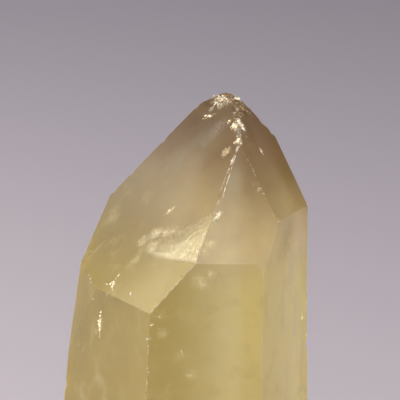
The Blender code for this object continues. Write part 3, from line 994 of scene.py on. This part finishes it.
veils = {
    "seed": 7,
    # azimuth and lean in degrees of the three sets of cracks
    "planes": {"left": (317.0, 28.4), "front": (0.0, 29.1), "right": (22.0, 16.8)},
    # set, face, right, height, half spread to the right and up the face in mm, turn in degrees,
    # number of shards, smallest and largest shard in mm
    "cracks": [
        # wisps and a streak on the left point face
        ("left", "pointLeft", 3.3, 62.2, 1.2, 1.00, 0.0, 60, (0.05, 0.22)),
        ("left", "pointLeft", 1.2, 61.6, 1.4, 1.10, 0.0, 80, (0.05, 0.24)),
        ("left", "pointLeft", -0.5, 60.2, 1.2, 0.90, 0.0, 44, (0.05, 0.22)),
        ("left", "pointLeft", 2.5, 59.9, 1.5, 1.00, 0.0, 60, (0.04, 0.18)),
        ("left", "pointLeft", -0.2, 58.0, 1.4, 1.40, 0.0, 24, (0.04, 0.16)),
        ("left", "pointLeft", 1.5, 65.0, 0.8, 0.30, 60.0, 40, (0.06, 0.22)),
        # sparkle in the etched patch
        ("left", "pointLeft", 11.8, 61.5, 2.4, 0.80, 60.0, 160, (0.04, 0.13)),
        ("left", "pointLeft", 9.6, 60.6, 2.6, 1.00, 45.0, 160, (0.04, 0.13)),
        ("left", "pointLeft", 7.2, 60.0, 1.4, 0.70, 30.0, 70, (0.04, 0.12)),
        # star of three arms
        ("left", "pointLeft", -1.1, 53.9, 0.55, 0.50, 0.0, 90, (0.08, 0.34)),
        ("left", "pointLeft", -1.0, 54.9, 0.16, 0.90, 0.0, 30, (0.06, 0.22)),
        ("left", "pointLeft", -2.2, 53.6, 0.70, 0.16, 20.0, 22, (0.06, 0.20)),
        ("left", "pointLeft", -0.3, 53.2, 0.60, 0.16, -30.0, 22, (0.06, 0.22)),
        # cluster on the left prism face
        ("left", "prismLeft", -2.5, 47.5, 0.45, 0.80, 0.0, 90, (0.08, 0.32)),
        ("left", "prismLeft", -2.4, 46.0, 0.22, 0.80, 0.0, 26, (0.06, 0.20)),
        ("left", "prismLeft", -2.3, 49.2, 0.14, 0.40, 0.0, 12, (0.06, 0.20)),
        ("left", "prismLeft", -7.0, 42.3, 0.40, 0.80, -30.0, 30, (0.05, 0.18)),
        # soft glows on the front faces
        ("front", "pointFront", 2.8, 62.4, 0.75, 0.65, 0.0, 130, (0.04, 0.17)),
        ("front", "pointFront", 2.1, 61.6, 0.50, 0.50, 0.0, 50, (0.04, 0.15)),
        ("front", "prismFront", 3.0, 58.3, 0.50, 0.60, 0.0, 90, (0.04, 0.17)),
        ("front", "prismFront", 1.2, 57.6, 0.90, 0.50, 0.0, 90, (0.04, 0.15)),
        ("front", "prismFront", 1.9, 56.7, 0.55, 0.55, 0.0, 70, (0.04, 0.16)),
        ("front", "prismFront", 4.4, 57.2, 0.35, 0.60, 0.0, 40, (0.04, 0.14)),
        ("front", "prismFront", -4.7, 51.8, 0.28, 0.28, 0.0, 22, (0.06, 0.22)),
        ("front", "prismFront", -5.8, 50.5, 0.22, 0.22, 0.0, 22, (0.08, 0.28)),
        ("front", "prismFront", -4.1, 49.2, 0.55, 0.50, 0.0, 36, (0.04, 0.16)),
        ("front", "prismFront", -1.2, 46.2, 0.14, 0.50, 15.0, 22, (0.05, 0.18)),
        ("front", "prismFront", 0.3, 42.8, 0.45, 0.50, 0.0, 30, (0.04, 0.16)),
        # right faces
        ("right", "sliverRight", 0.9, 61.1, 0.40, 0.60, 0.0, 22, (0.05, 0.18)),
        ("right", "prismRight", 5.3, 60.4, 0.80, 1.40, 0.0, 60, (0.04, 0.14)),
        ("right", "prismRight", 5.8, 48.3, 0.20, 1.00, 0.0, 26, (0.05, 0.20)),
        ("right", "prismRight", 2.8, 43.6, 0.30, 2.40, 0.0, 60, (0.04, 0.14)),
        ("front", "pointFront", 10.6, 69.6, 0.50, 0.20, 50.0, 22, (0.08, 0.26)),
        ("front", "pointFront", 9.8, 70.4, 0.20, 0.45, 20.0, 12, (0.06, 0.22)),
        # apex, ridge and the foot of the worn band
        ("front", "breakRight", 10.5, 80.7, 0.50, 0.20, 0.0, 30, (0.20, 0.50)),
        ("front", "breakLeft", -4.2, 80.4, 1.80, 0.40, 0.0, 90, (0.14, 0.48)),
        ("front", "breakLeft", -4.0, 79.7, 0.90, 0.40, 20.0, 24, (0.12, 0.40)),
        ("front", "pointRight", 4.1, 77.9, 0.50, 0.75, 0.0, 80, (0.16, 0.48)),
        ("left", "pointLeft", 4.2, 77.7, 0.60, 0.45, 0.0, 50, (0.16, 0.46)),
        ("left", "pointLeft", 2.3, 78.1, 0.40, 0.35, 0.0, 18, (0.14, 0.38)),
        ("left", "pointLeft", -3.3, 77.9, 0.70, 0.22, 20.0, 22, (0.14, 0.36)),
        ("left", "pointLeft", 6.9, 76.0, 0.35, 0.45, 0.0, 30, (0.14, 0.40)),
        ("left", "pointLeft", 8.3, 73.5, 0.20, 0.25, 0.0, 12, (0.12, 0.32)),
        ("front", "pointFront", 4.2, 66.2, 0.25, 0.85, -35.0, 50, (0.14, 0.42)),
        ("left", "pointLeft", 5.8, 74.3, 0.80, 0.55, 20.0, 40, (0.06, 0.24)),
        ("front", "pointRight", 4.9, 74.0, 0.25, 0.30, 0.0, 14, (0.10, 0.32)),
    ],
    # how far the shards stray from the crack's plane, and how far they stand out of the face as
    # a share of their size
    "looseness": 0.3,
    "rise": (-0.05, 0.18),
    # white, tan, roughness and how much of a mirror the shards are
    "quartz": ("#f6e8c8", "#d6c398", 0.36, 0.9),
    # number of corners and seed of each shard that is copied, its shape at 1 mm across, how
    # uneven and how flat it is, and its least width as a share of its length
    "shardKinds": ((3, 2), (4, 5), (5, 11), (4, 17)),
    "shardShape": {"radius1": 0.5, "radius2": 0.12, "depth": 0.5},
    "unevenness": 0.16,
    "flatness": 0.5,
    "leastWidth": 0.35,
    # how many more small shards there are than large ones, and how far they gather to the middle
    "fineness": 1.6,
    "gathering": 0.6,
    # size of the white and tan specks in mm, and the noise between which they change
    "speckSize": 0.7,
    "speckRange": (0.40, 0.66),
}


def addFlakeTool(corners, seed):
    # a thin sharp shard, 1 mm across
    bpy.ops.mesh.primitive_cone_add(vertices=corners, location=(0.0, 0.0, 0.0),
                                    **veils["shardShape"])
    tool = bpy.context.object
    tool.name = "flakeTool"
    bpy.ops.object.mode_set(mode="EDIT")
    bpy.ops.mesh.select_all(action="SELECT")
    bpy.ops.transform.vertex_random(offset=veils["unevenness"], uniform=0.5, seed=seed)
    bpy.ops.transform.resize(value=(1.0, 1.0, veils["flatness"]))
    bpy.ops.mesh.normals_make_consistent(inside=False)
    bpy.ops.object.mode_set(mode="OBJECT")
    return tool


def anyDirection(rng):
    return Vector([rng.gauss(0.0, 1.0) for _ in range(3)]).normalized()


def fallingSize(sizes, rng):
    # many small shards for each large one
    return sizes[0] * (sizes[1] / sizes[0]) ** (rng.random() ** veils["fineness"])


def makePaleQuartz(name, color, tan, roughness, mirror):
    # splinters of quartz, in specks from white to tan; a thin splinter mirrors the light from
    # within, so part of it is drawn as a mirror
    material, tree = newMaterial(name)
    place = addNode(tree, "ShaderNodeTexCoord")
    speckle = addNode(tree, "ShaderNodeTexNoise", {
        "Scale": 1 / (veils["speckSize"] * mm), "Detail": 1.0}, {"Vector": place.outputs["Object"]})
    spotted = addNode(tree, "ShaderNodeMapRange", span(*veils["speckRange"]), {"Value": speckle})
    tone = addNode(tree, "ShaderNodeMix", {"data_type": "RGBA", 6: srgb(color), 7: srgb(tan)},
                   {0: spotted})
    shader = addNode(tree, "ShaderNodeBsdfPrincipled", {
        "Roughness": roughness, "IOR": citrine["ior"], "Metallic": mirror}, {"Base Color": tone})
    addNode(tree, "ShaderNodeOutputMaterial", links={"Surface": shader})
    return material


def scatterShards(tools, zone, outward, looseness, rise, rng):
    # shards strewn over one zone of a face, broad side out
    face, right, height, halfRight, halfUp, turn, count, sizes = zone
    normal, _ = planeOf(face)
    side = acrossOf(normal)
    along = normal.cross(side)
    swing = Matrix.Rotation(math.radians(turn), 3, normal)
    made = []
    for _ in range(count):
        shift = side * rng.gauss(0.0, halfRight * veils["gathering"])
        shift += along * rng.gauss(0.0, halfUp * veils["gathering"])
        size = fallingSize(sizes, rng)
        spot = onFace(face, right, height) + swing @ shift + normal * size * rng.uniform(*rise)
        lean = (outward + anyDirection(rng) * looseness).normalized()
        made.append(placeTool(rng.choice(tools), spot, -lean,
                              (size, size * rng.uniform(veils["leastWidth"], 1.0), size),
                              anyTurn(rng)))
    return made


def addVeils(tools):
    rng = random.Random(veils["seed"])
    made = []
    for plane, *zone in veils["cracks"]:
        made += scatterShards(tools, zone, normalOf(*veils["planes"][plane]), veils["looseness"],
                              veils["rise"], rng)
    return joinAll(made, "healedVeils")


flakeTools = [addFlakeTool(*kind) for kind in veils["shardKinds"]]
healedVeils = addVeils(flakeTools)
healedVeils.data.materials.append(makePaleQuartz("healedCrack", *veils["quartz"]))
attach(healedVeils, "root")
print("veils finished,", len(healedVeils.data.polygons), "faces")


# crushed rims: white flakes still held in the bruised apex, edges and chips

crushed = {
    "seed": 19,
    # face, right, height, half spread to the right and up the face in mm, turn in degrees,
    # number of flakes, smallest and largest flake in mm
    "zones": [
        # crest of the apex
        ("breakLeft", -6.4, 80.4, 0.9, 0.30, 10.0, 30, (0.16, 0.50)),
        ("breakLeft", -4.9, 80.4, 1.0, 0.45, 0.0, 60, (0.16, 0.55)),
        ("breakLeft", -3.6, 80.3, 1.0, 0.55, 20.0, 50, (0.16, 0.50)),
        ("breakLeft", -3.2, 79.5, 0.5, 0.40, 0.0, 20, (0.16, 0.44)),
        ("breakLeft", -4.4, 79.7, 0.6, 0.40, 30.0, 20, (0.16, 0.44)),
        ("breakLeft", -2.0, 80.6, 0.6, 0.40, 40.0, 30, (0.14, 0.44)),
        ("breakRight", 10.4, 80.75, 0.5, 0.16, 0.0, 24, (0.22, 0.50)),
        ("breakRight", 9.1, 80.3, 0.30, 0.45, 20.0, 16, (0.14, 0.44)),
        ("breakRight", 8.9, 79.5, 0.25, 0.45, 10.0, 16, (0.14, 0.44)),
        ("breakRight", 7.7, 79.2, 0.25, 0.45, 0.0, 14, (0.12, 0.38)),
        ("breakRight", 10.2, 79.2, 0.15, 0.60, 10.0, 10, (0.10, 0.30)),
        # crescent and small chips left of the ridge
        ("pointLeft", -3.9, 78.0, 0.30, 0.40, 30.0, 16, (0.10, 0.26)),
        ("pointLeft", -3.1, 77.8, 0.45, 0.12, 0.0, 20, (0.14, 0.32)),
        ("pointLeft", -2.1, 78.5, 0.35, 0.14, 45.0, 14, (0.14, 0.30)),
        # the bruised ridge
        ("pointLeft", 2.3, 78.0, 0.30, 0.30, 0.0, 22, (0.14, 0.36)),
        ("pointLeft", 4.0, 77.7, 0.60, 0.50, 0.0, 60, (0.16, 0.46)),
        ("pointRight", 4.2, 78.2, 0.55, 0.65, 0.0, 150, (0.14, 0.44)),
        ("pointRight", 3.8, 77.6, 0.50, 0.65, -15.0, 130, (0.14, 0.44)),
        ("pointRight", 3.0, 77.2, 0.80, 0.80, 0.0, 50, (0.08, 0.24)),
        ("pointLeft", 4.9, 77.2, 0.30, 0.50, 0.0, 26, (0.12, 0.32)),
        ("pointLeft", 6.0, 76.5, 0.20, 0.40, 0.0, 14, (0.10, 0.26)),
        ("pointLeft", 6.9, 76.0, 0.35, 0.40, 0.0, 40, (0.12, 0.34)),
        ("pointRight", 0.7, 75.8, 0.30, 0.30, 0.0, 18, (0.12, 0.30)),
        ("pointLeft", 8.3, 73.5, 0.16, 0.20, 0.0, 12, (0.12, 0.28)),
        ("pointLeft", 5.9, 74.2, 0.80, 0.50, 20.0, 40, (0.06, 0.20)),
        # the chip at the foot of the worn band
        ("pointFront", 4.2, 66.2, 0.25, 0.80, -35.0, 40, (0.14, 0.36)),
        # specks down the front right edge and on the faces
        ("pointRight", 0.3, 73.9, 0.15, 0.25, 0.0, 7, (0.12, 0.26)),
        ("pointRight", -0.1, 73.0, 0.12, 0.20, 0.0, 6, (0.12, 0.26)),
        ("pointRight", -0.7, 72.2, 0.15, 0.25, 0.0, 7, (0.12, 0.28)),
        ("pointFront", 10.7, 69.7, 0.45, 0.15, 30.0, 12, (0.10, 0.24)),
        ("pointRight", -1.8, 69.4, 0.30, 0.12, 0.0, 8, (0.10, 0.24)),
        ("pointFront", 10.9, 65.5, 0.08, 0.08, 0.0, 4, (0.16, 0.26)),
        ("pointRight", 4.8, 74.1, 0.25, 0.30, 0.0, 18, (0.12, 0.34)),
        ("pointRight", 4.9, 73.5, 0.16, 0.30, 0.0, 12, (0.12, 0.32)),
        # left shoulder
        ("pointLeft", -11.9, 56.5, 0.30, 0.40, 0.0, 12, (0.12, 0.30)),
        ("pointLeft", -10.8, 56.6, 0.35, 0.14, 20.0, 10, (0.12, 0.28)),
        ("pointLeft", -7.8, 53.8, 0.12, 0.20, 0.0, 6, (0.12, 0.24)),
        ("sliverLeft", -4.0, 53.0, 0.10, 0.22, 0.0, 8, (0.14, 0.28)),
        ("prismLeft", -4.8, 50.7, 0.08, 0.14, 0.0, 5, (0.12, 0.22)),
        ("prismLeft", -0.8, 52.5, 0.14, 0.20, 0.0, 12, (0.16, 0.32)),
        ("pointLeft", 4.3, 53.7, 0.10, 0.26, 0.0, 12, (0.14, 0.30)),
        # lowest corner of the left point face
        ("pointLeft", 8.4, 52.5, 0.60, 0.14, -20.0, 26, (0.10, 0.28)),
        ("pointLeft", 11.0, 52.8, 0.50, 0.30, 40.0, 14, (0.08, 0.22)),
        ("pointLeft", 13.1, 57.9, 0.16, 0.20, 0.0, 8, (0.10, 0.24)),
        # front left prism edge
        ("prismFront", -6.0, 50.5, 0.22, 0.24, 0.0, 16, (0.12, 0.32)),
        ("prismLeft", 11.3, 48.2, 0.30, 0.22, 0.0, 18, (0.12, 0.32)),
        ("prismLeft", 11.6, 41.8, 0.06, 1.90, 0.0, 30, (0.08, 0.22)),
        ("prismLeft", 11.6, 39.8, 0.10, 0.16, 0.0, 9, (0.12, 0.30)),
        # short growth lines on the front prism face
        ("prismFront", -4.9, 47.4, 0.85, 0.03, 0.0, 22, (0.06, 0.16)),
        ("prismFront", -5.3, 44.2, 0.40, 0.03, 0.0, 12, (0.06, 0.16)),
        ("prismFront", -4.5, 51.8, 0.12, 0.16, 0.0, 8, (0.10, 0.24)),
    ],
    # fine rims of splinters: number and sizes along each edge of the worn band, then face, face,
    # starting and ending face, number and sizes along other edges, and their stray, all in mm
    "bandRims": (320, (0.07, 0.17)),
    "edgeRims": [
        ("pointLeft", "prismFront", "prismLeft", "pointFront", 110, (0.06, 0.20)),
        ("pointLeft", "prismLeft", "prismFront", "sliverLeft", 26, (0.06, 0.22)),
        ("pointLeft", "sliverLeft", "prismLeft", "prismBackLeft", 22, (0.06, 0.22)),
        ("prismLeft", "prismFront", "pointLeft", "foot", 150, (0.05, 0.20)),
        ("pointFront", "pointRight", "sliverRight", "pointLeft", 46, (0.05, 0.18)),
        ("sliverRight", "prismFront", "pointFront", "prismRight", 22, (0.05, 0.18)),
    ],
    "rimStray": 0.05,
    # how much the flakes' directions vary, and how far they stand out as a share of their size
    "looseness": 0.7,
    "rise": (-0.3, 0.15),
    # white, tan, roughness and how much of a mirror the flakes are
    "quartz": ("#fffbf0", "#ab8a5c", 0.28, 0.25),
}


def addCrushedRims(tools):
    rng = random.Random(crushed["seed"])
    made = []
    for zone in crushed["zones"]:
        made += scatterShards(tools, zone, planeOf(zone[0])[0], crushed["looseness"],
                              crushed["rise"], rng)
    for start, end, count, sizes in rimRows():
        for _ in range(count):
            size = fallingSize(sizes, rng)
            spot = start.lerp(end, rng.random())
            spot += anyDirection(rng) * crushed["rimStray"] * rng.random()
            lean = normalOf(*veils["planes"]["left"]) + anyDirection(rng) * crushed["looseness"]
            made.append(placeTool(rng.choice(tools), spot, -lean.normalized(),
                                  (size, size, size), 0.0))
    return joinAll(made, "crushedRims")


def rimRows():
    inner, *ends = bandPlanes()
    rows = []
    for face in wear["bandEdge"][:2]:
        corners = (meetingPoint(inner, planeOf(face), end) for end in ends)
        rows.append((*corners, *crushed["bandRims"]))
    for *edge, count, sizes in crushed["edgeRims"]:
        rows.append((*edgeOf(*edge)[:2], count, sizes))
    return rows


crushedRims = addCrushedRims(flakeTools)
crushedRims.data.materials.append(makePaleQuartz("crushedQuartz", *crushed["quartz"]))
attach(crushedRims, "root")
for tool in flakeTools:
    bpy.data.objects.remove(tool, do_unlink=True)
print("crushed rims finished,", len(crushedRims.data.polygons), "faces")


# studio: pale floor, soft light from low in front and from the left and behind

studio = {
    "floorColor": "#bdb6bd",
    "floorRoughness": 0.85,
    "floorWidth": 6000.0,
    "floorGap": 0.3,
    "worldColor": "#cfc9d2",
    "worldStrength": 0.3,
    "camera": {"aim": (2.37, -14.24, 69.31), "distance": 450.0, "elevation": 13.19, "roll": 0.99,
               "lens": 270.0, "sensor": 36.0, "nearest": 0.01, "furthest": 20.0},
    # place and aim in mm, width in mm, power in watts, colour
    "lamps": {
        "frontRight": ((403.0, -403.0, 230.0), (0.0, 0.0, 45.0), 300.0, 1.65, "#ffffff"),
        "frontHigh": ((0.0, -424.0, 469.0), (0.0, 0.0, 45.0), 300.0, 1.1, "#ffffff"),
        "frontLeft": ((-403.0, -403.0, 230.0), (0.0, 0.0, 45.0), 300.0, 0.8, "#ffffff"),
        "left": ((-529.0, 18.0, 327.0), (0.0, 0.0, 45.0), 200.0, 2.0, "#fff6e2"),
        "backLeftHigh": ((-320.0, 185.0, 518.0), (0.0, 0.0, 45.0), 300.0, 0.4, "#ffffff"),
        "overhead": ((-127.0, -272.0, 565.0), (0.0, 0.0, 45.0), 300.0, 0.3, "#ffffff"),
        "floorLeft": ((-350.0, 100.0, 500.0), (-120.0, 230.0, 0.0), 300.0, 0.75, "#f4f4ff"),
        "floorBehind": ((-200.0, 950.0, 450.0), (-150.0, 550.0, 0.0), 400.0, 0.6, "#f4f4ff"),
    },
}


def addStudio():
    reach = studio["floorWidth"] * mm
    bpy.ops.mesh.primitive_plane_add(size=reach, location=(0.0, 0.0, -studio["floorGap"] * mm))
    floor = bpy.context.object
    floor.name = "studioFloor"
    applyPlace(floor)
    # matt paper, even in tone and without gloss
    material, tree = newMaterial("paleStudioPaper")
    paper = addNode(tree, "ShaderNodeBsdfPrincipled", {
        "Base Color": srgb(studio["floorColor"]), "Roughness": studio["floorRoughness"]})
    addNode(tree, "ShaderNodeOutputMaterial", links={"Surface": paper})
    floor.data.materials.append(material)
    world = bpy.data.worlds.new("softStudio")
    world.use_nodes = True
    sky = world.node_tree.nodes["Background"]
    sky.inputs["Color"].default_value = srgb(studio["worldColor"])
    sky.inputs["Strength"].default_value = studio["worldStrength"]
    bpy.context.scene.world = world


def addLamps():
    for name, (place, aim, width, power, color) in studio["lamps"].items():
        data = bpy.data.lights.new(name, "AREA")
        data.shape = "DISK"
        data.size = width * mm
        data.energy = power
        data.color = srgb(color)[:3]
        lamp = bpy.data.objects.new(name, data)
        lamp.location = Vector(place) * mm
        lamp.rotation_euler = (Vector(place) - Vector(aim)).to_track_quat("Z", "Y").to_euler()
        bpy.context.scene.collection.objects.link(lamp)


def addCamera():
    view = studio["camera"]
    data = bpy.data.cameras.new("studioCamera")
    data.lens = view["lens"]
    data.sensor_width = view["sensor"]
    data.clip_start = view["nearest"]
    data.clip_end = view["furthest"]
    camera = bpy.data.objects.new("studioCamera", data)
    backward = normalOf(0.0, view["elevation"])
    camera.location = (Vector(view["aim"]) + backward * view["distance"]) * mm
    level = backward.to_track_quat("Z", "Y").to_matrix()
    camera.rotation_euler = (level @ Matrix.Rotation(math.radians(view["roll"]), 3, "Z")).to_euler()
    bpy.context.scene.collection.objects.link(camera)
    bpy.context.scene.camera = camera


addStudio()
addLamps()
addCamera()
bpy.context.scene.view_settings.view_transform = "Standard"
print("studio ready")
